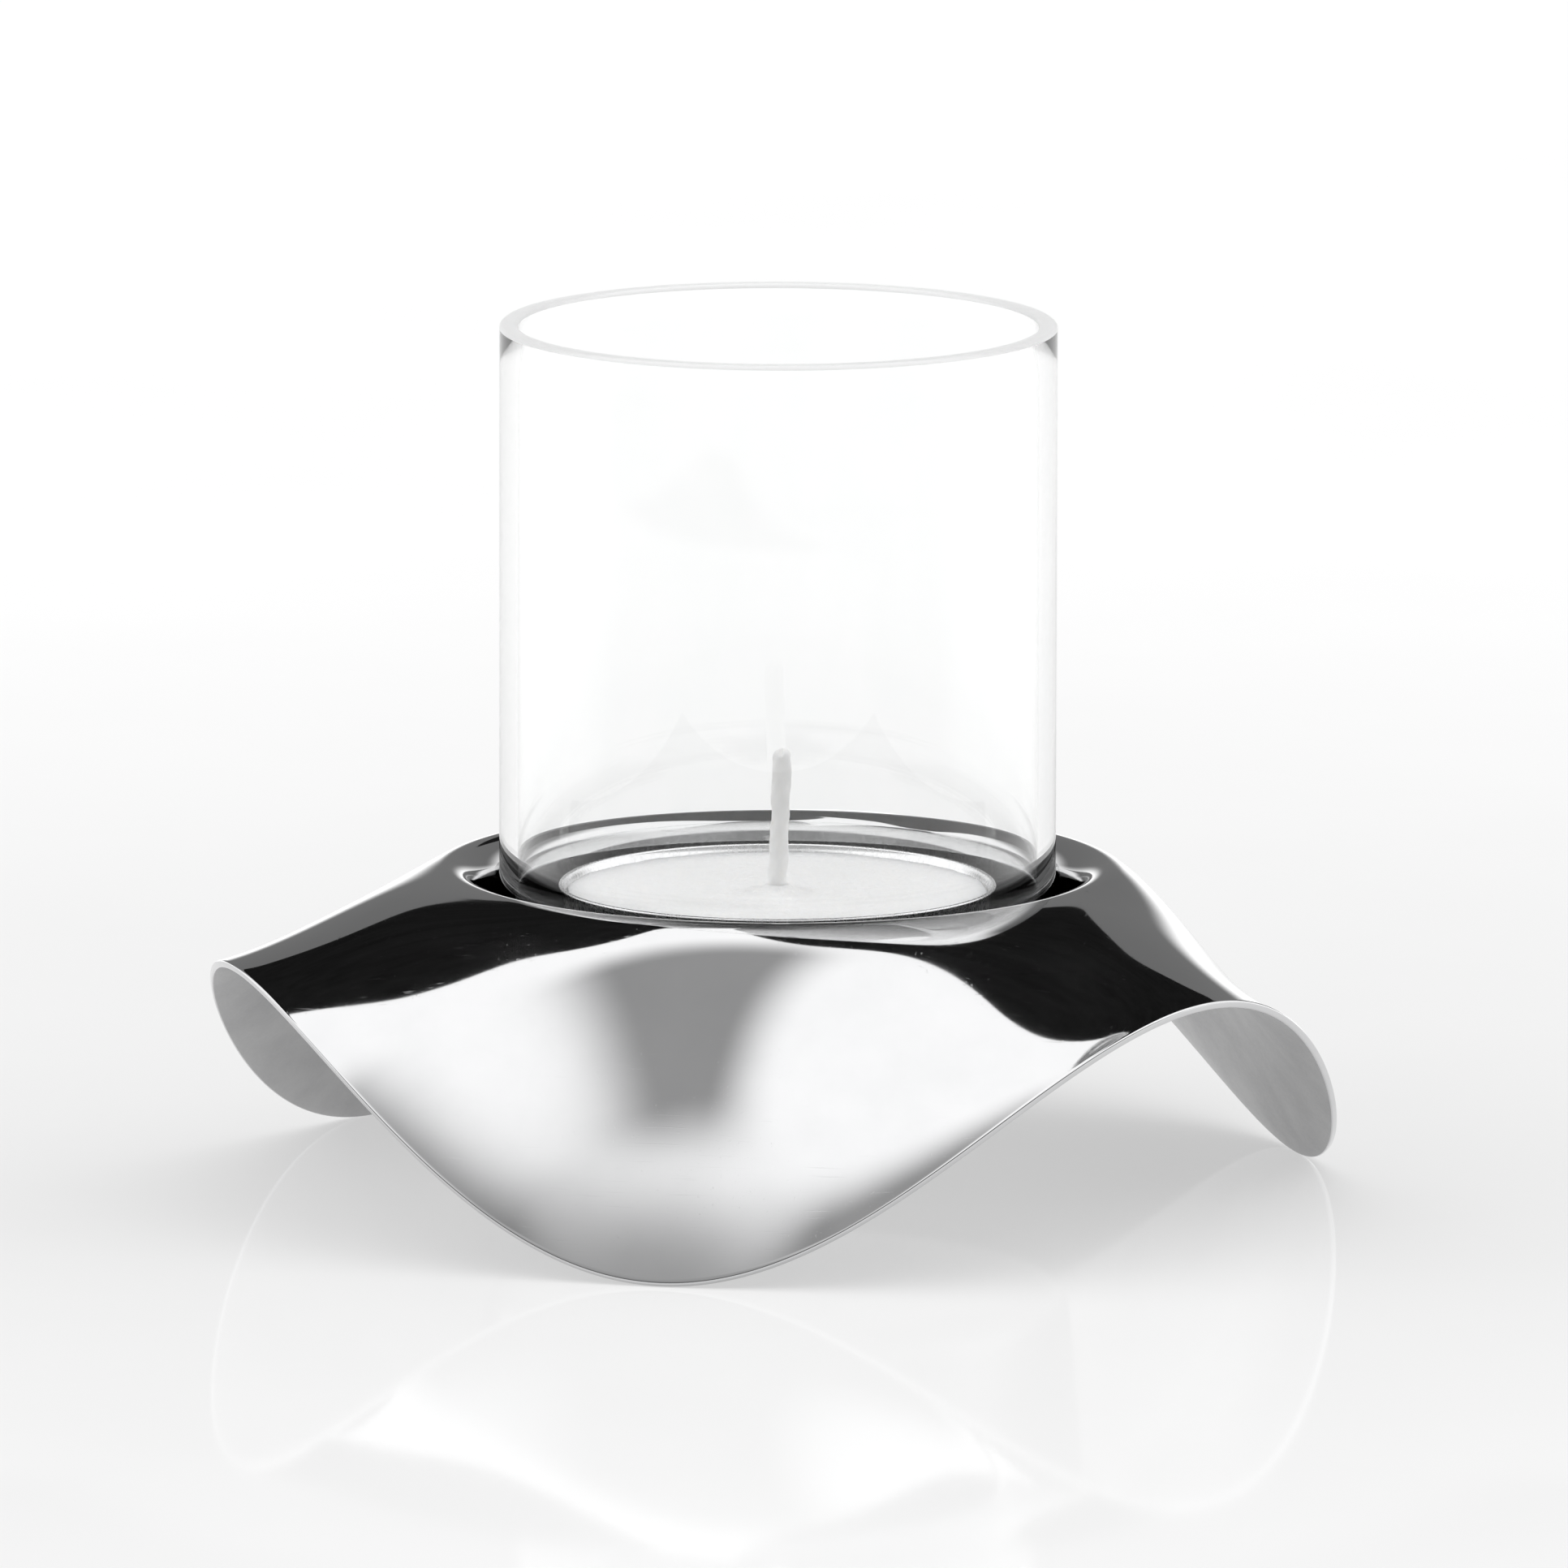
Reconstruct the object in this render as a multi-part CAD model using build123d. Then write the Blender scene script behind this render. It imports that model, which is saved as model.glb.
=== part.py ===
from build123d import *
import math
import os

# Tealight holder. A polished sheet metal base with three legs carries a glass tumbler in its
# well, and a tealight stands in the glass. Millimetres, +Z up. The origin is on the table, under
# the middle of the well. One leg points along -Y, the other two 120 degrees either side of it.

# --- driving dimensions: the wave-shaped base ---
SHEET = 0.7  # thickness of the metal
LEGS = 3
CREST_Z = 28.85  # top of the rolled lip
LIP_R = 2.7  # radius of the roll between skirt and well
MOUTH_R = 26.75  # clear radius inside the lip
EDGE_R = 50.3  # mean radius of the skirt's outer edge
EDGE_R_SWING = 0.5  # the edge stands this much further out between the legs, and in at the legs
ARCH_Z = 22.6  # height of the skirt's edge midway between two legs
FOOT_LAND = 0.12  # height ground off the lowest corner of each leg, so that it stands flat
LEG_START, LEG_END = 0.465, 1.047  # slope of a leg at the lip and at the edge, over its mean slope
ARCH_START, ARCH_END = 0.191, 0.625  # the same midway between two legs
LEG_SPREAD = 0.315  # how much wider a leg is at the lip than at its foot

# --- driving dimensions: the well in the middle of the base ---
WELL_FLOOR_Z = 9.4  # top face of the floor
WELL_TAPER = 5.0  # degrees that the wall leans in towards the floor
WELL_CORNER_R = 2.5

# --- driving dimensions: the glass tumbler ---
GLASS_R = 24.8
GLASS_WALL = 1.65
GLASS_FLOOR = 2.0
GLASS_HEIGHT = 68.25
GLASS_CORNER_R = 3.0
GLASS_RIM_R = 0.4  # rounding of the two edges of the flat rim
GLASS_GAP = 0.05  # between the glass and the floor of the well

# --- driving dimensions: the tealight ---
CUP_R = 18.9  # outside radius of the cup under its lip
CUP_FOOT_R = 18.4  # outside radius where the wall meets the floor
CUP_LIP_R = 19.5
CUP_LIP_HEIGHT = 0.9
CUP_HEIGHT = 16.0
CUP_WALL = 0.2
CUP_CORNER_R = 0.8
CUP_GAP = 0.05  # between the cup and the floor of the glass
WAX_DROP = 0.75  # from the cup's rim down to the wax
WAX_GAP = 0.02  # between the wax and the cup
WICK_R = 0.95
WICK_RISE = 12.8  # above the wax
WICK_LEAN = 2.0  # degrees
WICK_LEAN_TOWARDS = 12.0  # degrees from +X
WICK_TIP_R = 0.57  # rounding of its tip
WICK_GAP = 0.1  # between the wick's foot and the sustainer
SUSTAINER_R = 7.0
SUSTAINER_SHEET = 0.3
COLLAR_R = 1.85
COLLAR_WALL = 0.3
COLLAR_HEIGHT = 3.0

# --- how finely the wave is sampled ---
SECTIONS = 16  # spaces between the sections of one leg's third of the base
SKIRT_STATIONS = (0, 0.15, 0.3, 0.5, 0.7, 0.85, 1)  # places down a section, as shares of its run
NUDGE = 1e-4  # step for finding a surface's direction
SLOPE_ROUNDS = 12  # rounds for finding the skirt's slope where it leaves the lip
LEVEL = 0.05  # two heights this close count as the same
ROOM = 150  # side of a cutting block that is larger than the part

LIP_CENTRE_R = MOUTH_R + LIP_R
LIP_CENTRE_Z = CREST_Z - LIP_R
TAPER = math.radians(WELL_TAPER)
LEG_ANGLE = -math.pi / 2


def on_circle(centre_r, centre_z, radius, turn):
    return centre_r + radius * math.cos(turn), centre_z + radius * math.sin(turn)


def ease(t, start, end):
    """A curve from 0 to 1 with the given slopes at its two ends."""
    return start * t + (3 - 2 * start - end) * t**2 + (start + end - 2) * t**3


def leg_share(angle):
    """1 on the middle of a leg, 0 midway between two legs."""
    return (1 + math.cos(LEGS * (angle - LEG_ANGLE))) / 2


def edge_radius(angle):
    return EDGE_R + EDGE_R_SWING * (1 - 2 * leg_share(angle))


def leg_edge_height():
    """Height of the outer skin's edge on a leg, with the sheet's lower corner just under the table."""
    mean_slope = CREST_Z / (edge_radius(LEG_ANGLE) - LIP_CENTRE_R)
    foot_slope = math.atan(LEG_END * mean_slope)
    return SHEET * math.cos(foot_slope) - FOOT_LAND


LEG_EDGE_Z = leg_edge_height()


def drop(angle, t, top):
    """How far the outer skin lies below its start, at t = 0 by the lip to t = 1 at the edge."""
    share = leg_share(angle)
    spread = share + LEG_SPREAD * share * (1 - share) * (1 - t)
    leg = ease(t, LEG_START, LEG_END) * (top - LEG_EDGE_Z)
    arch = ease(t, ARCH_START, ARCH_END) * (top - ARCH_Z)
    return arch + (leg - arch) * spread


def skirt_start(slope):
    """(r, z) where the lip reaches this slope and the skirt starts."""
    return on_circle(LIP_CENTRE_R, LIP_CENTRE_Z, LIP_R, math.pi / 2 - slope)


def lip_slope(angle):
    """Angle below horizontal at which the skirt leaves the lip, where the two are tangent."""
    slope = 0
    for _ in range(SLOPE_ROUNDS):
        start_r, start_z = skirt_start(slope)
        slope = math.atan2(drop(angle, NUDGE, start_z), NUDGE * (edge_radius(angle) - start_r))
    return slope


def skirt(angle, t):
    """(r, z) on the outer skin of the skirt."""
    start_r, start_z = skirt_start(lip_slope(angle))
    return start_r + (edge_radius(angle) - start_r) * t, start_z - drop(angle, t, start_z)


def under_skirt(angle, t, depth):
    """(r, z) this deep under the outer skin, measured square to the sheet."""
    r, z = skirt(angle, t)
    before_r, before_z = skirt(angle, t - NUDGE)
    after_r, after_z = skirt(angle, t + NUDGE)
    fall = (before_z - after_z) / (after_r - before_r)
    side_fall = (skirt(angle + NUDGE, t)[1] - skirt(angle - NUDGE, t)[1]) / (2 * NUDGE * r)
    slope = lip_slope(angle) if t == 0 else math.atan(fall)
    reach = depth if t == 0 else depth * math.sqrt(1 + side_fall**2 / (1 + fall**2))
    return r - reach * math.sin(slope), z - reach * math.cos(slope)


def arc(centre_r, centre_z, radius, start, end):
    """Three points of an arc: its two ends and its middle."""
    return [on_circle(centre_r, centre_z, radius, turn) for turn in (start, (start + end) / 2, end)]


def section(angle, depth):
    """Open outline of one side of the sheet, from the floor's corner over the lip to the edge."""
    corner_z = WELL_FLOOR_Z + WELL_CORNER_R
    wall = (LIP_CENTRE_Z - corner_z + (LIP_R - WELL_CORNER_R) * math.sin(TAPER)) / math.cos(TAPER)
    corner_r = LIP_CENTRE_R - (LIP_R + WELL_CORNER_R) * math.cos(TAPER) - wall * math.sin(TAPER)
    slope = lip_slope(angle)
    corner = arc(corner_r, corner_z, WELL_CORNER_R + depth, -math.pi / 2, -TAPER)
    lip = arc(LIP_CENTRE_R, LIP_CENTRE_Z, LIP_R - depth, math.pi - TAPER, math.pi / 2 - slope)
    wave = [under_skirt(angle, t, depth) for t in SKIRT_STATIONS]

    def place(points):
        return [Vector(r * math.cos(angle), r * math.sin(angle), z) for r, z in points]

    return Wire([
        Edge.make_three_point_arc(*place(corner)),
        Edge.make_line(*place([corner[-1], lip[0]])),
        Edge.make_three_point_arc(*place(lip)),
        Edge.make_spline(place(wave)),
    ])


def skin(depth):
    """One side of the sheet on one leg's third, with its edges at the floor and at the rim."""
    half_turn = math.pi / LEGS
    angles = [LEG_ANGLE - half_turn + 2 * half_turn * step / SECTIONS for step in range(SECTIONS + 1)]
    shell = Shell.make_loft([section(angle, depth) for angle in angles])

    def runs_round(edge):
        return edge.length > EDGE_R / 2 and abs((edge @ 0).Z - (edge @ 1).Z) < LEVEL

    def reach(edge):
        middle = edge @ 0.5
        return math.hypot(middle.X, middle.Y)

    around = [edge for edge in shell.edges() if runs_round(edge)]
    return shell.faces(), min(around, key=reach), max(around, key=reach)


def all_round(shape):
    return [Rot(0, 0, 360 / LEGS * turn) * shape for turn in range(LEGS)]


def wave_base():
    """The sheet between its two skins, closed by the floor's two discs and the skirt's cut edge."""
    outer, outer_floor, outer_rim = skin(0)
    inner, inner_floor, inner_rim = skin(SHEET)
    cut_edge = Face.make_surface_from_curves(outer_rim, inner_rim)
    sides = [turned for face in [*outer, *inner, cut_edge] for turned in all_round(face)]
    floor_discs = [Face(Wire(all_round(edge))) for edge in (outer_floor, inner_floor)]
    sheet = Solid(Shell([*sides, *floor_discs]))
    return sheet - Pos(0, 0, -ROOM / 2) * Box(ROOM, ROOM, ROOM)


def glass():
    """A straight tumbler with a flat rim of rounded edges and rounded corners at the bottom."""
    base_z = WELL_FLOOR_Z + GLASS_GAP
    top_z = base_z + GLASS_HEIGHT
    inner_r = GLASS_R - GLASS_WALL
    inner_corner_r = GLASS_CORNER_R - GLASS_WALL / 2
    outside = Pos(0, 0, base_z + GLASS_HEIGHT / 2) * Cylinder(GLASS_R, GLASS_HEIGHT)
    outside = fillet(outside.edges().group_by(Axis.Z)[0], GLASS_CORNER_R)
    hollow_height = GLASS_HEIGHT - GLASS_FLOOR
    hollow = Pos(0, 0, top_z - hollow_height / 2) * Cylinder(inner_r, hollow_height)
    hollow = fillet(hollow.edges().group_by(Axis.Z)[0], inner_corner_r)
    body = outside - hollow
    rim = body.edges().group_by(Axis.Z)[-1]
    return fillet(rim, GLASS_RIM_R)


def cup_floor_z():
    """Underside of the tealight cup."""
    return WELL_FLOOR_Z + GLASS_GAP + GLASS_FLOOR + CUP_GAP


def cup_outline(inset):
    """Half of the cup's outline in the XZ plane, moved this far in from the outside."""
    foot = cup_floor_z() + inset
    top = cup_floor_z() + CUP_HEIGHT
    corner = CUP_CORNER_R - inset
    with BuildLine(Plane.XZ) as outline:
        Line((0, foot), (CUP_FOOT_R - inset - corner, foot))
        RadiusArc((CUP_FOOT_R - inset - corner, foot), (CUP_FOOT_R - inset, foot + corner), -corner)
        Line((CUP_FOOT_R - inset, foot + corner), (CUP_R - inset, top - CUP_LIP_HEIGHT))
        Line((CUP_R - inset, top - CUP_LIP_HEIGHT), (CUP_LIP_R - inset, top))
        Line((CUP_LIP_R - inset, top), (0, top))
        Line((0, top), (0, foot))
    return make_face(outline.edges())


def tealight_cup():
    return revolve(cup_outline(0) - cup_outline(CUP_WALL), Axis.Z)


def wick():
    """A straight waxed wick with a rounded tip, leaning a little about the wax's surface."""
    wax_top = cup_floor_z() + CUP_HEIGHT - WAX_DROP
    foot = cup_floor_z() + CUP_WALL + WAX_GAP + SUSTAINER_SHEET + WICK_GAP - wax_top
    length = WICK_RISE - foot
    stem = Pos(0, 0, foot + length / 2) * Cylinder(WICK_R, length)
    stem = fillet(stem.edges().group_by(Axis.Z)[-1], WICK_TIP_R)
    towards = Rot(0, 0, WICK_LEAN_TOWARDS) * Rot(0, WICK_LEAN, 0)
    return Pos(0, 0, wax_top) * towards * stem


def wick_sustainer():
    """A tin disc with a collar that holds the wick's foot."""
    base_z = cup_floor_z() + CUP_WALL + WAX_GAP
    disc = Pos(0, 0, base_z + SUSTAINER_SHEET / 2) * Cylinder(SUSTAINER_R, SUSTAINER_SHEET)
    collar = Pos(0, 0, base_z + COLLAR_HEIGHT / 2) * Cylinder(COLLAR_R, COLLAR_HEIGHT)
    socket_height = COLLAR_HEIGHT - SUSTAINER_SHEET
    socket_z = base_z + SUSTAINER_SHEET + socket_height / 2
    socket = Pos(0, 0, socket_z) * Cylinder(COLLAR_R - COLLAR_WALL, socket_height)
    return disc + collar - socket


def tealight_wax():
    """The wax fills the cup up to just under its lip, round the wick and over the sustainer."""
    filling = revolve(cup_outline(CUP_WALL + WAX_GAP), Axis.Z)
    surface_z = cup_floor_z() + CUP_HEIGHT - WAX_DROP
    filling -= Pos(0, 0, surface_z + ROOM / 2) * Box(ROOM, ROOM, ROOM)
    return filling - wick() - wick_sustainer()


NODES = {
    "wave_base": wave_base,
    "glass": glass,
    "tealight_cup": tealight_cup,
    "tealight_wax": tealight_wax,
    "wick": wick,
    "wick_sustainer": wick_sustainer,
}

os.makedirs("parts", exist_ok=True)
for node, build in NODES.items():
    export_step(build(), f"parts/{node}.step")
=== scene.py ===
import math

import bpy
import numpy as np
from mathutils import Matrix, Vector


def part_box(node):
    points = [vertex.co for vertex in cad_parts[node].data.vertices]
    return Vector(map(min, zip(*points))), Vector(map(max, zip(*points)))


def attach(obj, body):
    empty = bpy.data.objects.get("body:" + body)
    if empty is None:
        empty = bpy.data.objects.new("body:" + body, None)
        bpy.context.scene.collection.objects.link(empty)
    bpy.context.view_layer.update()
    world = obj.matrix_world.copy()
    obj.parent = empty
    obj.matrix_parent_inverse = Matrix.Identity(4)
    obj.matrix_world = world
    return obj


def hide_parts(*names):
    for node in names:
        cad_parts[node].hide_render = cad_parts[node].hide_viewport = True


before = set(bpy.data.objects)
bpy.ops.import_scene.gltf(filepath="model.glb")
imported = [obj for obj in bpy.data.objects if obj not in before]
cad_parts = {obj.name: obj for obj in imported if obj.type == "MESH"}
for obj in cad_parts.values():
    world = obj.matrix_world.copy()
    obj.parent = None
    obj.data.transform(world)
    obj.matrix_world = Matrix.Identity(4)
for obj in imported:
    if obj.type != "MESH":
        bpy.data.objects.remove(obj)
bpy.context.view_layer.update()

MM = 0.001
STUDIO = bpy.context.scene


# --- sizes taken from the frame, metres ---
base_low, base_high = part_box("wave_base")
glass_low, glass_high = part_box("glass")
cup_low, cup_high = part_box("tealight_cup")
wax_low, wax_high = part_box("tealight_wax")
wick_low, wick_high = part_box("wick")
sustainer_low, sustainer_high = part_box("wick_sustainer")

# --- the wave-shaped base, as it was pressed ---
LEGS = 3
LEG_ANGLE = -math.pi / 2
SHEET = 0.7 * MM
MOUTH_R = 26.75 * MM
LIP_R = 2.7 * MM
ARCH_Z = 22.6 * MM
FOOT_LAND = 0.12 * MM
LEG_START, LEG_END = 0.465, 1.047
ARCH_START, ARCH_END = 0.191, 0.625
LEG_SPREAD = 0.315
WELL_FLOOR_Z = 9.4 * MM
WELL_TAPER = math.radians(5.0)
WELL_CORNER_R = 2.5 * MM
EDGE_ROUND = 0.18 * MM
CREST_Z = base_high.z
EDGE_R = (base_high.y - base_low.y) / 2
EDGE_R_SWING = (base_high.y + base_low.y) / 2
LIP_CENTRE_R = MOUTH_R + LIP_R
LIP_CENTRE_Z = CREST_Z - LIP_R
AROUND = 384
NUDGE = 1e-4
SLOPE_ROUNDS = 12
SKIRT_STEPS = 73


def ease(t, start, end):
    """A cubic from 0 to 1 with these slopes at its ends."""
    return start * t + (3 - 2 * start - end) * t**2 + (start + end - 2) * t**3


def leg_share(angle):
    """1 in the middle of a leg, 0 in the middle of an arch."""
    return (1 + np.cos(LEGS * (angle - LEG_ANGLE))) / 2


def edge_radius(angle):
    return EDGE_R + EDGE_R_SWING * (1 - 2 * leg_share(angle))


LEG_RUN = float(edge_radius(LEG_ANGLE)) - LIP_CENTRE_R
LEG_EDGE_Z = SHEET * math.cos(math.atan(LEG_END * CREST_Z / LEG_RUN)) - FOOT_LAND


def drop(angle, t, top):
    """How far the skirt lies below its start, at this share of its run."""
    share = leg_share(angle)
    spread = share + LEG_SPREAD * share * (1 - share) * (1 - t)
    leg = ease(t, LEG_START, LEG_END) * (top - LEG_EDGE_Z)
    arch = ease(t, ARCH_START, ARCH_END) * (top - ARCH_Z)
    return arch + (leg - arch) * spread


def lip_slope(angle):
    """Angle below horizontal at which the skirt leaves the lip, where the two are tangent."""
    slope = 0 * angle
    for _ in range(SLOPE_ROUNDS):
        start_r = LIP_CENTRE_R + LIP_R * np.sin(slope)
        start_z = LIP_CENTRE_Z + LIP_R * np.cos(slope)
        slope = np.arctan(drop(angle, NUDGE, start_z) / (NUDGE * (edge_radius(angle) - start_r)))
    return slope


def skirt(angle, t):
    """Points on the outer skin, t = 0 at the lip and 1 at the edge."""
    slope = lip_slope(angle)
    start_r = LIP_CENTRE_R + LIP_R * np.sin(slope)
    start_z = LIP_CENTRE_Z + LIP_R * np.cos(slope)
    r = start_r + (edge_radius(angle) - start_r) * t
    return on_ring(angle, r, start_z - drop(angle, t, start_z))


def on_ring(angle, r, z):
    return np.stack([r * np.cos(angle), r * np.sin(angle), z + 0 * angle], axis=-1)


def unit(v):
    return v / np.linalg.norm(v, axis=-1, keepdims=True)


def skirt_frame(angle, t):
    """(point, outward direction along the skin, normal) on the skirt."""
    around = skirt(angle + NUDGE, t) - skirt(angle - NUDGE, t)
    along = unit(skirt(angle, t + NUDGE) - skirt(angle, t - NUDGE))
    normal = unit(np.cross(along, around))
    return skirt(angle, t), along, normal


def arc_ring(angle, centre_r, centre_z, radius, turn):
    return on_ring(angle, centre_r + radius * np.cos(turn), centre_z + radius * np.sin(turn))


def well_rings(angle, depth):
    """Rings from the floor's middle up the wall, this deep under the visible skin."""
    lean, upright = math.sin(WELL_TAPER), math.cos(WELL_TAPER)
    corner_z = WELL_FLOOR_Z + WELL_CORNER_R
    wall = (LIP_CENTRE_Z - corner_z + (LIP_R - WELL_CORNER_R) * lean) / upright
    corner_r = LIP_CENTRE_R - (LIP_R + WELL_CORNER_R) * upright - wall * lean
    rings = [on_ring(angle, corner_r * share, WELL_FLOOR_Z - depth)
             for share in (0.02, 0.25, 0.5, 0.75, 0.95)]
    radius = WELL_CORNER_R + depth
    sweep = math.pi / 2 - WELL_TAPER
    for share in np.linspace(0, 1, 13):
        rings.append(arc_ring(angle, corner_r, corner_z, radius, share * sweep - math.pi / 2))
    low = rings[-1]
    high = arc_ring(angle, LIP_CENTRE_R, LIP_CENTRE_Z, LIP_R - depth, math.pi - WELL_TAPER)
    rings += [low + (high - low) * share for share in np.linspace(0, 1, 12)[1:-1]]
    return rings


def lip_rings(angle, depth, steps):
    first = math.pi - WELL_TAPER
    last = math.pi / 2 - lip_slope(angle)
    return [arc_ring(angle, LIP_CENTRE_R, LIP_CENTRE_Z, LIP_R - depth, first + share * (last - first))
            for share in np.linspace(0, 1, steps)]


def skirt_rings(angle, depth):
    rings = []
    for t in np.linspace(0, 1, SKIRT_STEPS)[1:-1]:
        point, _, normal = skirt_frame(angle, t)
        rings.append(point - normal * depth)
    return rings


def edge_rings(angle):
    """The sheet's rounded cut edge, from the outer skin to the inner one."""
    point, along, normal = skirt_frame(angle, 1.0)
    rings = []
    corners = ((EDGE_ROUND, 90, 0), (SHEET - EDGE_ROUND, 0, -90))
    for depth, start, end in corners:
        centre = point - along * EDGE_ROUND - normal * depth
        for turn in np.radians(np.linspace(start, end, 6)):
            rings.append(centre + EDGE_ROUND * (along * math.cos(turn) + normal * math.sin(turn)))
    return rings


def mesh_object(name, points, faces, materials=(), face_materials=None):
    mesh = bpy.data.meshes.new(name)
    mesh.from_pydata([tuple(p) for p in points], [], faces)
    mesh.update()
    mesh.shade_smooth()
    piece = bpy.data.objects.new(name, mesh)
    STUDIO.collection.objects.link(piece)
    for material in materials:
        mesh.materials.append(material)
    if face_materials is not None:
        mesh.polygons.foreach_set("material_index", face_materials)
    return piece


def ring_mesh(name, rings, materials, ring_material=None):
    """A closed surface through rings of points, capped by a fan at both ends."""
    count = len(rings[0])
    poles = [ring.mean(axis=0, keepdims=True) for ring in (rings[0], rings[-1])]
    points = np.concatenate(rings + poles)
    first_pole = len(rings) * count
    faces = []
    face_materials = []
    for row in range(len(rings) - 1):
        for i in range(count):
            j = (i + 1) % count
            faces.append((row * count + i, row * count + j, (row + 1) * count + j, (row + 1) * count + i))
            face_materials.append(ring_material[row] if ring_material else 0)
    last = (len(rings) - 1) * count
    for i in range(count):
        j = (i + 1) % count
        faces.append((first_pole, j, i))
        face_materials.append(face_materials[0])
        faces.append((first_pole + 1, last + i, last + j))
        face_materials.append(face_materials[last - 1])
    return mesh_object(name, points, faces, materials, face_materials)


# --- materials ---
WAX_SCATTER = (1, 0.97, 0.93)


class Look:
    """A principled material with helpers for the noise that drives its colour, roughness and bump."""

    def __init__(self, name, **values):
        self.material = bpy.data.materials.new(name)
        self.material.use_nodes = True
        self.nodes = self.material.node_tree.nodes
        self.links = self.material.node_tree.links
        self.shader = self.nodes["Principled BSDF"]
        for socket, value in values.items():
            self.shader.inputs[socket.replace("_", " ")].default_value = value

    def place(self, stretch=(1, 1, 1), turn=(0, 0, 0)):
        """Object coordinates, stretched so that a pattern runs longer in some directions."""
        coordinates = self.nodes.new("ShaderNodeTexCoord")
        mapping = self.nodes.new("ShaderNodeMapping")
        mapping.inputs["Scale"].default_value = stretch
        mapping.inputs["Rotation"].default_value = turn
        self.links.new(coordinates.outputs["Object"], mapping.inputs["Vector"])
        return mapping.outputs["Vector"]

    def noise(self, size, vector, detail=4.0, roughness=0.55):
        """Noise whose features are about this many metres across."""
        node = self.nodes.new("ShaderNodeTexNoise")
        node.inputs["Scale"].default_value = 1 / size
        node.inputs["Detail"].default_value = detail
        node.inputs["Roughness"].default_value = roughness
        self.links.new(vector, node.inputs["Vector"])
        return node.outputs["Fac"]

    def grains(self, size, vector):
        node = self.nodes.new("ShaderNodeTexVoronoi")
        node.inputs["Scale"].default_value = 1 / size
        self.links.new(vector, node.inputs["Vector"])
        return node.outputs["Distance"]

    def spread(self, socket, low, high, new_low, new_high):
        node = self.nodes.new("ShaderNodeMapRange")
        self.links.new(socket, node.inputs["Value"])
        for name, value in zip(("From Min", "From Max", "To Min", "To Max"), (low, high, new_low, new_high)):
            node.inputs[name].default_value = value
        return node.outputs["Result"]

    def largest(self, one, other):
        node = self.nodes.new("ShaderNodeMath")
        node.operation = "MAXIMUM"
        self.links.new(one, node.inputs[0])
        self.links.new(other, node.inputs[1])
        return node.outputs["Value"]

    def colour(self, socket, low, dark, high, light):
        node = self.nodes.new("ShaderNodeValToRGB")
        node.color_ramp.elements[0].position = low
        node.color_ramp.elements[0].color = (*dark, 1)
        node.color_ramp.elements[1].position = high
        node.color_ramp.elements[1].color = (*light, 1)
        self.links.new(socket, node.inputs["Fac"])
        self.links.new(node.outputs["Color"], self.shader.inputs["Base Color"])

    def rough(self, socket, low, high, smooth, coarse):
        self.links.new(self.spread(socket, low, high, smooth, coarse), self.shader.inputs["Roughness"])

    def bump(self, socket, height, strength=1.0, below=None):
        node = self.nodes.new("ShaderNodeBump")
        node.inputs["Distance"].default_value = height
        node.inputs["Strength"].default_value = strength
        self.links.new(socket, node.inputs["Height"])
        if below is not None:
            self.links.new(below, node.inputs["Normal"])
        self.links.new(node.outputs["Normal"], self.shader.inputs["Normal"])
        return node.outputs["Normal"]


def polished_steel():
    look = Look("polished_steel", Metallic=1.0)
    even = look.place()
    cloud = look.noise(9 * MM, even)
    one_way = look.noise(0.25 * MM, look.place((0.03, 1, 1), (0.3, 0.2, 0.9)), 2.0)
    other_way = look.noise(0.3 * MM, look.place((1, 0.03, 1), (0.1, 0.4, 0.35)), 2.0)
    hairs = look.largest(look.spread(one_way, 0.66, 0.8, 0, 1), look.spread(other_way, 0.67, 0.8, 0, 1))
    look.colour(cloud, 0.3, (0.63, 0.632, 0.637), 0.7, (0.67, 0.67, 0.675))
    smear = look.spread(cloud, 0.35, 0.7, 0.035, 0.06)
    add = look.nodes.new("ShaderNodeMath")
    add.operation = "MULTIPLY_ADD"
    look.links.new(hairs, add.inputs[0])
    add.inputs[1].default_value = 0.12
    look.links.new(smear, add.inputs[2])
    look.links.new(add.outputs["Value"], look.shader.inputs["Roughness"])
    look.bump(hairs, 0.002 * MM, 0.25)
    return look.material


def satin_steel():
    look = Look("satin_steel", Metallic=1.0)
    even = look.place()
    cloud = look.noise(6 * MM, even)
    fine = look.noise(0.3 * MM, even)
    look.colour(cloud, 0.3, (0.47, 0.47, 0.475), 0.7, (0.56, 0.56, 0.56))
    look.rough(fine, 0.3, 0.7, 0.34, 0.46)
    look.bump(fine, 0.01 * MM, 0.4)
    return look.material


def clear_glass():
    look = Look("clear_glass", Transmission_Weight=1.0, IOR=1.5)
    even = look.place((1, 1, 0.35))
    wave = look.noise(14 * MM, even, 1.0)
    film = look.noise(5 * MM, even)
    look.colour(film, 0.3, (0.985, 0.99, 0.988), 0.7, (1, 1, 1))
    look.rough(film, 0.5, 0.8, 0.0, 0.012)
    look.bump(wave, 0.05 * MM, 0.3)
    return look.material


def ground_rim_with_painted_light():
    """Stands in for a ground, half polished rim: partly white and rough, not clear glass. Its white also
    paints on the light that the glass wall carries up to the rim.
    """
    look = Look("ground_rim_with_painted_light", Transmission_Weight=0.3, IOR=1.5)
    fine = look.noise(0.2 * MM, look.place())
    # partly painted light: the near-white colour stands for light the glass wall carries up, as well as for
    # the ground finish
    look.colour(fine, 0.3, (0.97, 0.975, 0.975), 0.7, (1, 1, 1))
    look.rough(fine, 0.3, 0.7, 0.5, 0.7)
    look.bump(fine, 0.004 * MM, 0.4)
    return look.material


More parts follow.
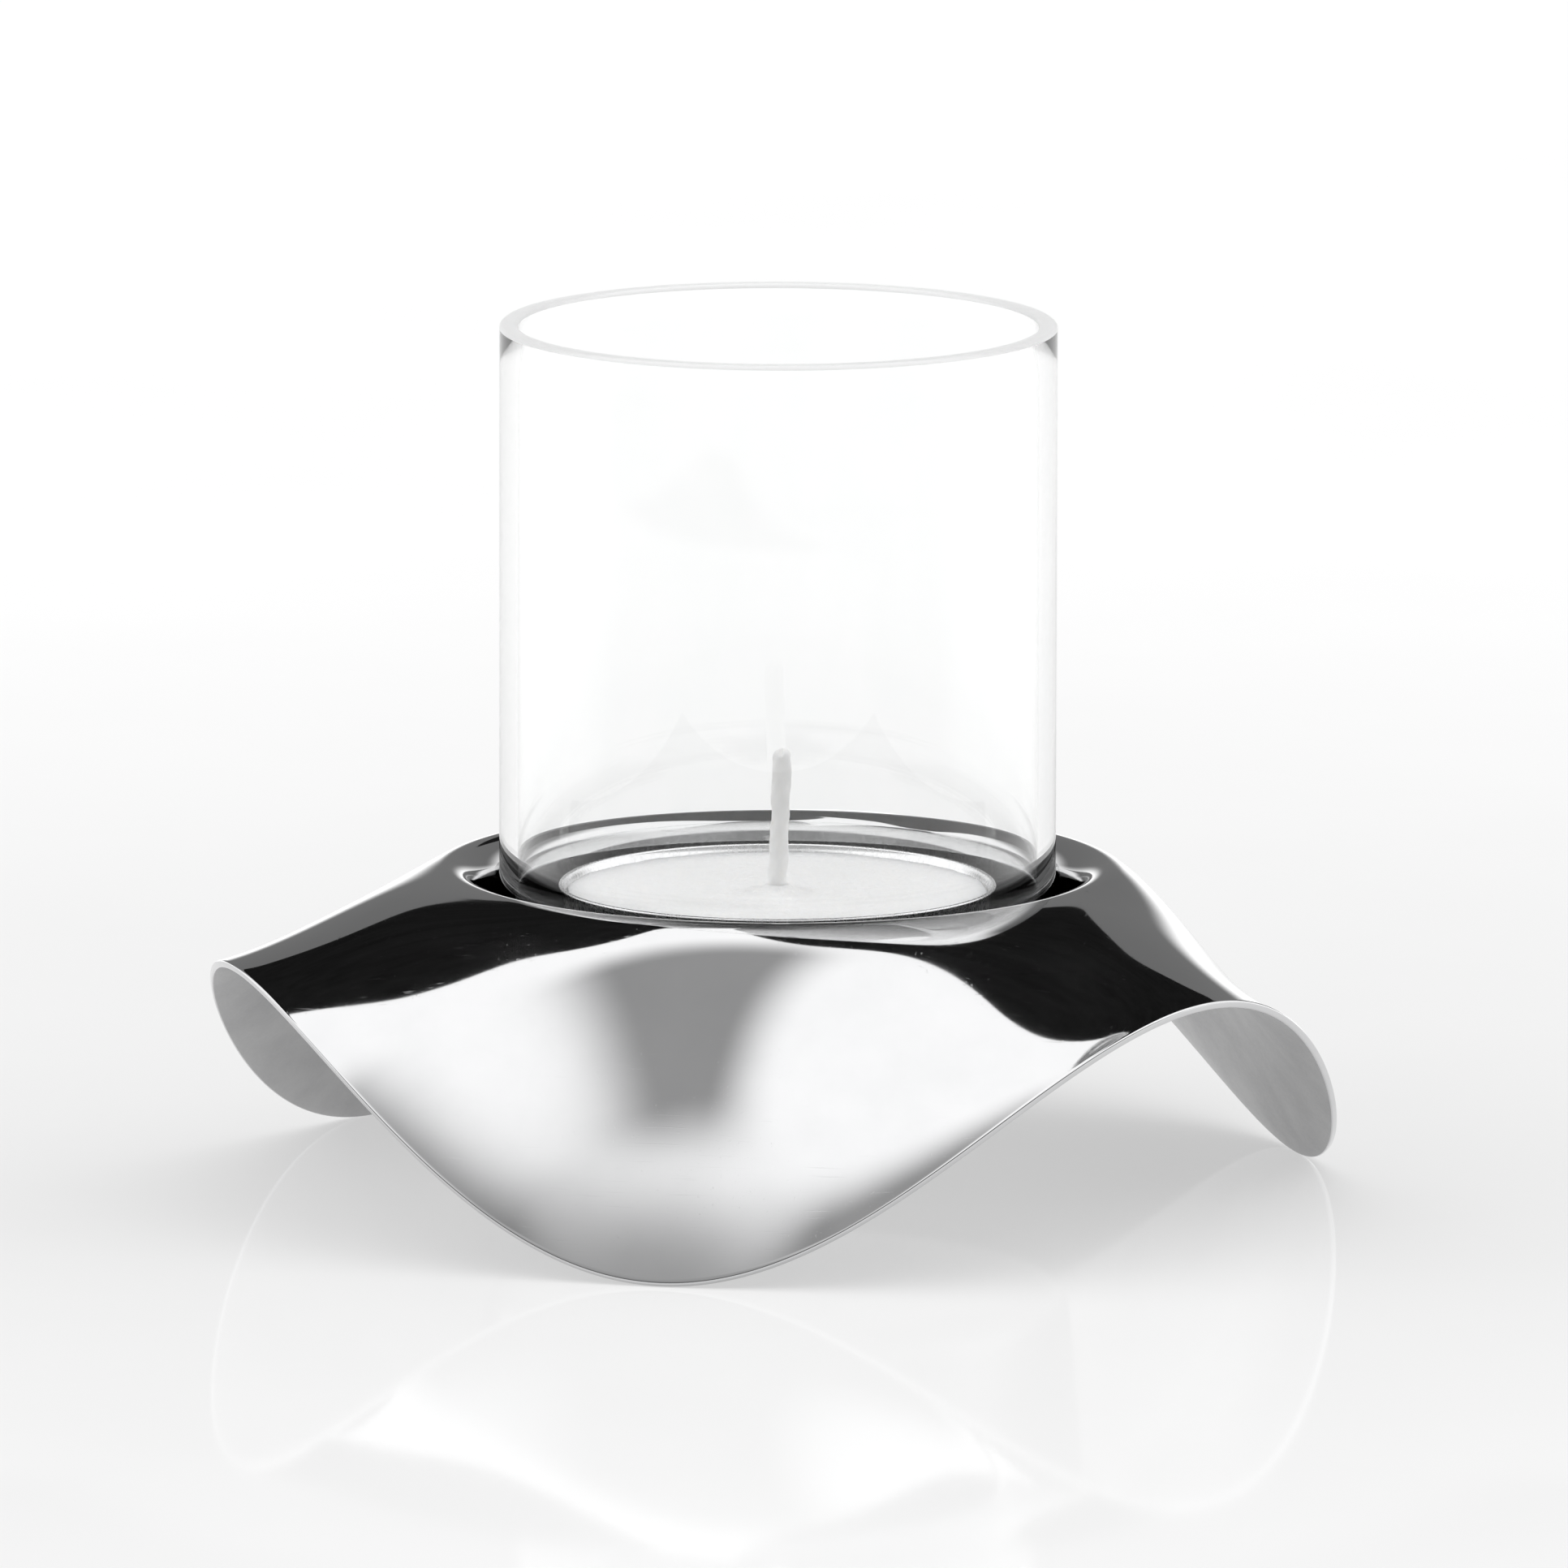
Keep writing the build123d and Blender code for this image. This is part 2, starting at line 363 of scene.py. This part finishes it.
def cup_aluminium():
    look = Look("cup_aluminium", Metallic=1.0)
    cloud = look.noise(4 * MM, look.place())
    drawn = look.noise(0.3 * MM, look.place((1, 1, 0.05)), 3.0)
    look.colour(cloud, 0.3, (0.80, 0.80, 0.81), 0.7, (0.88, 0.88, 0.885))
    look.rough(drawn, 0.3, 0.7, 0.16, 0.34)
    look.bump(drawn, 0.01 * MM, 0.5)
    return look.material


def wax():
    look = Look("wax", Subsurface_Weight=1.0, Subsurface_Radius=WAX_SCATTER,
                Subsurface_Scale=2.5 * MM, IOR=1.44)
    even = look.place()
    cloud = look.noise(3 * MM, even)
    crystal = look.grains(0.55 * MM, even)
    fine = look.noise(0.25 * MM, even)
    look.colour(cloud, 0.3, (0.955, 0.955, 0.95), 0.7, (0.99, 0.99, 0.985))
    look.rough(fine, 0.3, 0.7, 0.32, 0.55)
    under = look.bump(crystal, 0.16 * MM, 1.0)
    look.bump(fine, 0.08 * MM, 1.0, under)
    return look.material


def waxed_cotton():
    look = Look("waxed_cotton", Subsurface_Weight=0.6, Subsurface_Radius=WAX_SCATTER,
                Subsurface_Scale=0.6 * MM)
    even = look.place()
    cloud = look.noise(1.2 * MM, even)
    fine = look.noise(0.12 * MM, even)
    look.colour(cloud, 0.3, (0.92, 0.92, 0.91), 0.7, (0.985, 0.985, 0.98))
    look.rough(fine, 0.3, 0.7, 0.4, 0.7)
    look.bump(fine, 0.04 * MM, 0.6)
    return look.material


def tinplate():
    look = Look("tinplate", Metallic=1.0)
    cloud = look.noise(2 * MM, look.place())
    brushed = look.noise(0.15 * MM, look.place((0.05, 1, 1)), 3.0)
    look.colour(cloud, 0.3, (0.58, 0.58, 0.57), 0.7, (0.70, 0.70, 0.69))
    look.rough(brushed, 0.3, 0.7, 0.22, 0.42)
    look.bump(brushed, 0.01 * MM, 0.5)
    return look.material


# --- pieces ---
def build_base():
    angle = np.linspace(0, 2 * math.pi, AROUND, endpoint=False)
    outer = well_rings(angle, 0) + lip_rings(angle, 0, 25) + skirt_rings(angle, 0)
    edge = edge_rings(angle)
    inner = well_rings(angle, SHEET) + lip_rings(angle, SHEET, 7) + skirt_rings(angle, SHEET)
    rings = outer + edge + inner[::-1]
    ring_material = [0] * (len(outer) + len(edge) - 2) + [1] * (len(inner) + 1)
    piece = ring_mesh("base_sheet", rings, [polished_steel(), satin_steel()], ring_material)
    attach(piece, "base")
    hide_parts("wave_base")


def lathe(name, profile, materials, around=256, ring_material=None):
    angle = np.linspace(0, 2 * math.pi, around, endpoint=False)
    rings = [on_ring(angle, r + 0 * angle, z) for r, z in profile]
    return ring_mesh(name, rings, materials, ring_material)


def arc_points(centre_r, centre_z, radius, start, end, steps):
    return [(centre_r + radius * math.cos(a), centre_z + radius * math.sin(a))
            for a in np.radians(np.linspace(start, end, steps))]


def build_glass():
    outer_r = glass_high.x
    wall = 1.65 * MM
    inner_r = outer_r - wall
    floor = 2.0 * MM
    corner = 3.0 * MM
    inner_corner = 2.2 * MM
    rim_r = 0.4 * MM
    top = glass_high.z
    low = glass_low.z
    wall_top = top - wall / 2
    floor_stops = (0.3 * MM, 8 * MM, 16 * MM)
    outside = [(r, low) for r in floor_stops]
    outside += arc_points(outer_r - corner, low + corner, corner, -90, 0, 14)
    outside += [(outer_r, z) for z in np.linspace(low + corner, wall_top, 24)[1:-1]]
    rim = arc_points(outer_r - rim_r, top - rim_r, rim_r, 0, 90, 9)
    rim += arc_points(inner_r + rim_r, top - rim_r, rim_r, 90, 180, 9)
    inside = [(inner_r, z) for z in np.linspace(top - rim_r, low + floor + inner_corner, 24)[1:-1]]
    inside += arc_points(inner_r - inner_corner, low + floor + inner_corner, inner_corner, 0, -90, 12)
    inside += [(r, low + floor) for r in floor_stops[::-1]]
    ring_material = [0] * len(outside) + [1] * (len(rim) - 1) + [0] * (len(inside) + 1)
    piece = lathe("tumbler", outside + rim + inside, [clear_glass(), ground_rim_with_painted_light()], 256, ring_material)
    piece.visible_diffuse = False
    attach(piece, "glass_body")
    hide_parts("glass")


def ride_tealight(piece, node):
    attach(piece, "tealight")
    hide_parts(node)


def build_cup():
    """A drawn cup of thin aluminium: fluted wall, small step under the lip, rolled bead on top."""
    low, high = cup_low.z, cup_high.z
    lip_r = cup_high.x
    bead_r = 0.2 * MM
    skin = 0.16 * MM
    wall_r = lip_r - 0.62 * MM
    foot_r = wall_r - 0.48 * MM
    corner = 0.8 * MM
    flutes = 60
    flute_depth = 0.07 * MM
    angle = np.linspace(0, 2 * math.pi, 600, endpoint=False)
    step_z = high - 1.0 * MM
    neck_r = wall_r + 0.1 * MM
    neck_z = step_z + 0.25 * MM
    throat_r = wall_r + 0.2 * MM
    throat_z = high - 0.5 * MM
    fade = 0.12

    def wall_profile(inset):
        """(radius, height, share of the flutes' depth) from the middle of the foot up the wall."""
        points = [(foot_r * share, low + inset, 0) for share in (0.02, 0.3, 0.6, 0.8, 0.88)]
        points += [(0.9 * foot_r, low + inset, 0), (0.91 * foot_r, low + inset + 0.12 * MM, 0)]
        rounded = arc_points(foot_r - corner, low + corner, corner - inset, -90, 0, 9)
        points += [(r, z, 0) for r, z in rounded]
        for share in np.linspace(0.04, 1, 24):
            r = foot_r + (wall_r - foot_r) * share - inset
            flat = min(share / fade, (1 - share) / fade, 1)
            points.append((r, low + corner + (step_z - low - corner) * share, max(flat, 0)))
        return points

    outside = wall_profile(0)
    outside += [(neck_r, neck_z, 0), (throat_r, throat_z, 0)]
    bead = [(r, z, 0) for r, z in arc_points(lip_r - bead_r, high - bead_r, bead_r, -60, 190, 14)]
    inside = [(throat_r - skin, throat_z, 0), (neck_r - skin, neck_z, 0)]
    inside += wall_profile(skin)[::-1]
    rings = []
    for r, z, share in outside + bead + inside:
        ripple = -flute_depth * share * (0.5 + 0.5 * np.cos(flutes * angle))
        rings.append(on_ring(angle, r + ripple, z))
    piece = ring_mesh("fluted_cup", rings, [cup_aluminium()])
    ride_tealight(piece, "tealight_cup")


def build_wax():
    """Set wax: a meniscus that clings to the cup in a ragged line, and a little hill round the wick."""
    low = wax_low.z
    top = wax_high.z
    rim_r = wax_high.x
    angle = np.linspace(0, 2 * math.pi, 360, endpoint=False)
    rng = np.random.default_rng(7)
    ragged = sum(np.cos(k * angle + rng.uniform(0, 6.28)) * rng.uniform(0.4, 1.0) / k**0.6
                 for k in range(5, 44))
    ragged = ragged / np.abs(ragged).max()
    soft = sum(np.cos(k * angle + rng.uniform(0, 6.28)) / k for k in range(2, 9)) / 3
    cup_wall = 0.55 * MM
    side_r = rim_r - cup_wall
    foot_r = side_r - 0.48 * MM
    side_start = 0.6 * MM
    side_height = top - low - 1.4 * MM
    edge_inset, edge_wander = 0.14 * MM, 0.09 * MM
    edge_lift, edge_ripple = 0.05 * MM, 0.06 * MM
    inner_ripple = 0.03 * MM
    sag, swell, level = 0.12 * MM, 0.05 * MM, 0.04 * MM
    rings = [on_ring(angle, foot_r * share, low) for share in (0.3, 0.6, 0.9)]
    for share in np.linspace(0, 1, 12):
        side_z = low + side_start + side_height * share
        rings.append(on_ring(angle, foot_r + (side_r - foot_r) * share, side_z))
    edge_r = rim_r - edge_inset + edge_wander * ragged
    rings.append(on_ring(angle, edge_r, top + edge_lift + edge_ripple * ragged))
    # the meniscus falls away inwards, (share of the edge's radius, height in mm)
    for share, height in ((0.992, 0.1), (0.98, 0.07), (0.96, 0.02), (0.93, -0.03)):
        z = top + height * MM + inner_ripple * ragged * (share - 0.9) * 10
        rings.append(on_ring(angle, edge_r * share, z))
    for share in np.linspace(0.88, 0.14, 14):
        dip = -sag * (1 - share) + swell * soft * share
        rings.append(on_ring(angle, side_r * share, top - level + dip))
    # the hill round the wick, (radius, height) in mm
    for r, height in ((2.2, 0.0), (1.7, 0.12), (1.35, 0.35), (1.15, 0.6)):
        rings.append(on_ring(angle, r * MM, top + (height - 0.14) * MM))
    piece = ring_mesh("set_wax", rings, [wax()])
    ride_tealight(piece, "tealight_wax")


def build_wick():
    """A leaning round wick: ripples that wind up it stand for the braid, and a notch crosses its tip."""
    foot = wick_low.z
    tip = wick_high.z
    radius = 0.93 * MM
    surface = wax_high.z
    lean = Vector((wick_high.x - radius, (wick_high.y + wick_low.y) / 2, tip))
    angle = np.linspace(0, 2 * math.pi, 72, endpoint=False)
    pitch = 3.6 * MM
    tip_round = 0.75 * MM
    notch_depth, notch_reach, notch_width = 0.35 * MM, 0.5 * MM, 0.35
    rings = []
    rng = np.random.default_rng(3)
    for z in np.linspace(foot, tip, 132):
        share = (z - surface) / (tip - surface)
        centre = np.array([lean.x * share, lean.y * share])
        twist = 2 * math.pi * (z - foot) / pitch
        left = max(tip - z, 0)
        close = math.sqrt(max(1 - max(1 - left / tip_round, 0)**2, 0.0))
        lobe = 1 + 0.06 * np.cos(3 * angle + twist) + 0.03 * np.cos(5 * angle - 1.7 * twist)
        wobble = 1 + 0.035 * math.sin(z / (1.1 * MM)) + 0.02 * rng.uniform(-1, 1)
        r = 0.88 * radius * lobe * wobble * max(close, 0.12)
        notch = notch_depth * np.exp(-(np.cos(angle) / notch_width)**2) * (left < notch_reach)
        ring = on_ring(angle, r, z)
        ring[:, 0] += centre[0]
        ring[:, 1] += centre[1]
        ring[:, 2] -= notch
        rings.append(ring)
    piece = ring_mesh("braided_wick", rings, [waxed_cotton()])
    ride_tealight(piece, "wick")


def build_sustainer():
    low, high = sustainer_low.z, sustainer_high.z
    disc_r = sustainer_high.x
    sheet = 0.3 * MM
    collar_r = 1.85 * MM
    bore_r = collar_r - sheet
    edge = 0.1 * MM
    fold_r = 0.4 * MM
    middle_r = 0.2 * MM
    profile = [(middle_r, low), (0.9 * disc_r, low)]
    profile += arc_points(disc_r - edge, low + edge, edge, -90, 0, 5)
    profile += arc_points(disc_r - edge, low + sheet - edge, edge, 0, 90, 5)
    profile += [(0.6 * disc_r, low + sheet)]
    profile += arc_points(collar_r + fold_r, low + sheet + fold_r, fold_r, -90, -180, 7)
    profile += [(collar_r, high - edge), (collar_r - edge, high)]
    profile += [(bore_r + edge, high), (bore_r, high - edge)]
    profile += [(bore_r, low + sheet + edge), (middle_r, low + sheet)]
    piece = lathe("wick_clip", profile, [tinplate()], 96)
    ride_tealight(piece, "wick_sustainer")


build_base()
build_glass()
build_cup()
build_wax()
build_wick()
build_sustainer()


# --- studio ---
# Laid out from where the camera stands: across = to its right, back = away from it.
CAMERA_AZIMUTH = math.radians(11.816)
CAMERA_ELEVATION = math.radians(9.863)
FLOOR_HALF = 6.0
FLOOR_ALBEDO = 0.40
FLOOR_GLOW = 0.62  # light the floor gives off itself, set so that it renders nearly white
FLOOR_GLOW_IN_PAINTED_SHADOW = 0.47  # painted shadow: the floor glows less round the object
SKY = 1.45
CAMERA_DISTANCE = 2.169
CAMERA_ROLL = math.radians(0.125)
CAMERA_LENS = 559.2

# The board's outline, (across, back) as shares of its height. It was taken from the photo: the black
# reflections in the steel were traced back through the CAD surface, then rounded and partly moved.
FLAG_HEIGHT = 0.7
FLAG_ROUNDING = 4
FLAG_OUTLINE = [
    (-0.30, 2.2), (-0.34, 1.72), (-0.45, 1.5), (-0.53, 1.2), (-0.54, 0.8), (-0.53, 0.45),
    (-0.56, 0.28), (-0.58, 0.17), (-0.53, 0.09), (-0.43, 0.09), (-0.34, 0.16), (-0.24, 0.28),
    (-0.11, 0.42), (-0.06, 0.50), (-0.10, 0.36), (-0.09, 0.16), (-0.05, 0.04), (0.02, -0.02),
    (0.09, 0.0), (0.15, 0.07), (0.19, 0.17), (0.215, 0.30), (0.24, 0.45), (0.35, 0.85),
    (0.47, 1.4), (0.45, 2.0), (0.38, 2.8)]


class Sum:
    """Arithmetic on node sockets, so that the sky and the scrims read as formulas."""

    def __init__(self, tree, socket):
        self.tree = tree
        self.socket = socket

    def combine(self, operation, *others):
        node = self.tree.nodes.new("ShaderNodeMath")
        node.operation = operation
        self.tree.links.new(self.socket, node.inputs[0])
        for place, other in enumerate(others, 1):
            if isinstance(other, Sum):
                self.tree.links.new(other.socket, node.inputs[place])
            else:
                node.inputs[place].default_value = other
        return Sum(self.tree, node.outputs[0])

    def __add__(self, other):
        return self.combine("ADD", other)

    def __mul__(self, other):
        return self.combine("MULTIPLY", other)

    def __truediv__(self, other):
        return self.combine("DIVIDE", other)

    def step(self, low, high):
        """0 below low, 1 above high, smooth between."""
        node = self.tree.nodes.new("ShaderNodeMapRange")
        node.interpolation_type = "SMOOTHSTEP"
        self.tree.links.new(self.socket, node.inputs["Value"])
        node.inputs["From Min"].default_value = low
        node.inputs["From Max"].default_value = high
        return Sum(self.tree, node.outputs["Result"])


def studio_point(across, back, height):
    c, s = math.cos(CAMERA_AZIMUTH), math.sin(CAMERA_AZIMUTH)
    return (across * c - back * s, across * s + back * c, height)


def rectangle(name, left, right, near, far, look):
    corners = [(left, near, 0), (right, near, 0), (right, far, 0), (left, far, 0)]
    return mesh_object(name, corners, [(0, 1, 2, 3)], [look.material])


def hide_from_camera(piece):
    """Leaves the piece to rays that bounce off mirrors or pass through glass, and takes its shadow away."""
    piece.visible_camera = False
    piece.visible_diffuse = False
    piece.visible_shadow = False


def build_floor():
    look = Look("floor_white_with_painted_shadow", Specular_IOR_Level=0.15, IOR=1.2)
    cloud = look.noise(80 * MM, look.place())
    fine = look.noise(1.5 * MM, look.place())
    look.colour(cloud, 0.3, (FLOOR_ALBEDO - 0.01,) * 3, 0.7, (FLOOR_ALBEDO + 0.01,) * 3)
    look.shader.inputs["Emission Color"].default_value = (1, 1, 1, 1)
    radius = look.nodes.new("ShaderNodeVectorMath")
    radius.operation = "LENGTH"
    look.links.new(look.place(), radius.inputs[0])
    # painted shadow: the floor's own glow drops round the object, a soft pool of shade painted into it
    glow_with_painted_shadow = look.spread(radius.outputs["Value"], 0.05, 0.35, FLOOR_GLOW_IN_PAINTED_SHADOW, FLOOR_GLOW)
    look.links.new(glow_with_painted_shadow, look.shader.inputs["Emission Strength"])
    look.rough(fine, 0.3, 0.7, 0.05, 0.07)
    look.bump(fine, 0.001 * MM, 0.1)
    piece = rectangle("studio_floor", -FLOOR_HALF, FLOOR_HALF, -FLOOR_HALF, FLOOR_HALF, look)
    piece.location.z = -0.02 * MM


def build_flag(name, outline):
    """A flat black board overhead and behind, which mirrors and glass show; each round cuts its corners."""
    look = Look(name, Specular_IOR_Level=0.0, Roughness=1.0)
    look.colour(look.noise(40 * MM, look.place()), 0.3, (0.008,) * 3, 0.7, (0.014,) * 3)
    points = np.array(outline, dtype=float)
    for _ in range(FLAG_ROUNDING):
        following = np.roll(points, -1, axis=0)
        cuts = [0.75 * points + 0.25 * following, 0.25 * points + 0.75 * following]
        points = np.stack(cuts, axis=1).reshape(-1, 2)
    corners = [studio_point(x * FLAG_HEIGHT, y * FLAG_HEIGHT, FLAG_HEIGHT) for x, y in points]
    piece = mesh_object(name, corners, [tuple(range(len(corners)))], [look.material])
    hide_from_camera(piece)


def build_scrim(name, height, cover):
    """A dark scrim with soft edges close over the front leg, which only reflections show.

    Its cover was read from the photo in the same way as the board's outline.
    """
    look = Look(name, Specular_IOR_Level=0.0, Roughness=1.0, Base_Color=(0, 0, 0, 1))
    tree = look.material.node_tree
    split = tree.nodes.new("ShaderNodeSeparateXYZ")
    tree.links.new(look.place(), split.inputs["Vector"])
    across, back = (Sum(tree, split.outputs[axis]) for axis in ("X", "Y"))
    tree.links.new(cover(across, back).socket, look.shader.inputs["Alpha"])
    piece = rectangle(name, -90 * MM, 90 * MM, -120 * MM, -10 * MM, look)
    piece.location.z = height
    piece.rotation_euler.z = CAMERA_AZIMUTH
    hide_from_camera(piece)
    piece.visible_transmission = False


def patch_cover(across, back):
    """A soft four-sided patch whose right side runs to the left as it comes nearer."""
    lean, square_up, darkness = 0.6, 0.857, 0.71
    slant = (back * -lean + across) * square_up
    left = across.step(-47 * MM, -31 * MM)
    right = (slant * -1).step(-28 * MM, -18 * MM)
    far = (back * -1).step(28 * MM, 38 * MM)
    near = back.step(-88 * MM, -74 * MM)
    return left * right * far * near * darkness


def foot_cover(across, back):
    """Darkens what the lowest part of the leg mirrors."""
    darkness = 0.68
    radius = (across * across + back * back).combine("POWER", 0.5)
    return radius.step(56 * MM, 69 * MM) * darkness


def build_world():
    world = bpy.data.worlds.new("studio")
    STUDIO.world = world
    world.use_nodes = True
    tree = world.node_tree
    direction = tree.nodes.new("ShaderNodeTexCoord")
    turn = tree.nodes.new("ShaderNodeVectorRotate")
    turn.rotation_type = "Z_AXIS"
    turn.inputs["Angle"].default_value = -CAMERA_AZIMUTH
    split = tree.nodes.new("ShaderNodeSeparateXYZ")
    tree.links.new(direction.outputs["Generated"], turn.inputs["Vector"])
    tree.links.new(turn.outputs["Vector"], split.inputs["Vector"])
    across, back, up = (Sum(tree, socket) for socket in split.outputs)
    flat = (across * across + back * back).combine("POWER", 0.5)
    # behind, the sky falls off into dark grey above the horizon, and is white again overhead
    behind = (back / flat).step(0.6, 0.85) * up.step(0.0, 0.16) * (up * -1).step(-0.87, -0.7)
    # in front it is darker low down; both were set against the photo
    ahead = back / up.combine("MAXIMUM", 0.05)
    room = (ahead * -1).step(0.75, 1.15)
    behind_dark, front_dark = 0.86, 0.72
    light = (behind * -behind_dark + 1) * (room * -front_dark + 1) * SKY
    background = tree.nodes["Background"]
    background.inputs["Color"].default_value = (1, 1, 1, 1)
    tree.links.new(light.socket, background.inputs["Strength"])


def build_camera():
    aim_right, aim_down = 0.56 * MM, 2.79 * MM
    sight = Vector(studio_point(0, -math.cos(CAMERA_ELEVATION), math.sin(CAMERA_ELEVATION)))
    target = Vector((0, 0, 39 * MM))
    data = bpy.data.cameras.new("photo_camera")
    camera = bpy.data.objects.new("photo_camera", data)
    STUDIO.collection.objects.link(camera)
    data.sensor_width = 36
    data.lens = CAMERA_LENS
    data.clip_start = 0.05
    data.clip_end = 50
    turn = (-sight).to_track_quat("-Z", "Y").to_matrix() @ Matrix.Rotation(CAMERA_ROLL, 3, "Z")
    aim = target + turn.col[0] * aim_right - turn.col[1] * aim_down
    camera.matrix_world = Matrix.Translation(aim + sight * CAMERA_DISTANCE) @ turn.to_4x4()
    STUDIO.camera = camera
    STUDIO.view_settings.view_transform = "Standard"


build_flag("flag", FLAG_OUTLINE)
build_scrim("scrim_high", 60 * MM, patch_cover)
build_scrim("scrim_low", 25 * MM, foot_cover)
build_floor()
build_world()
build_camera()
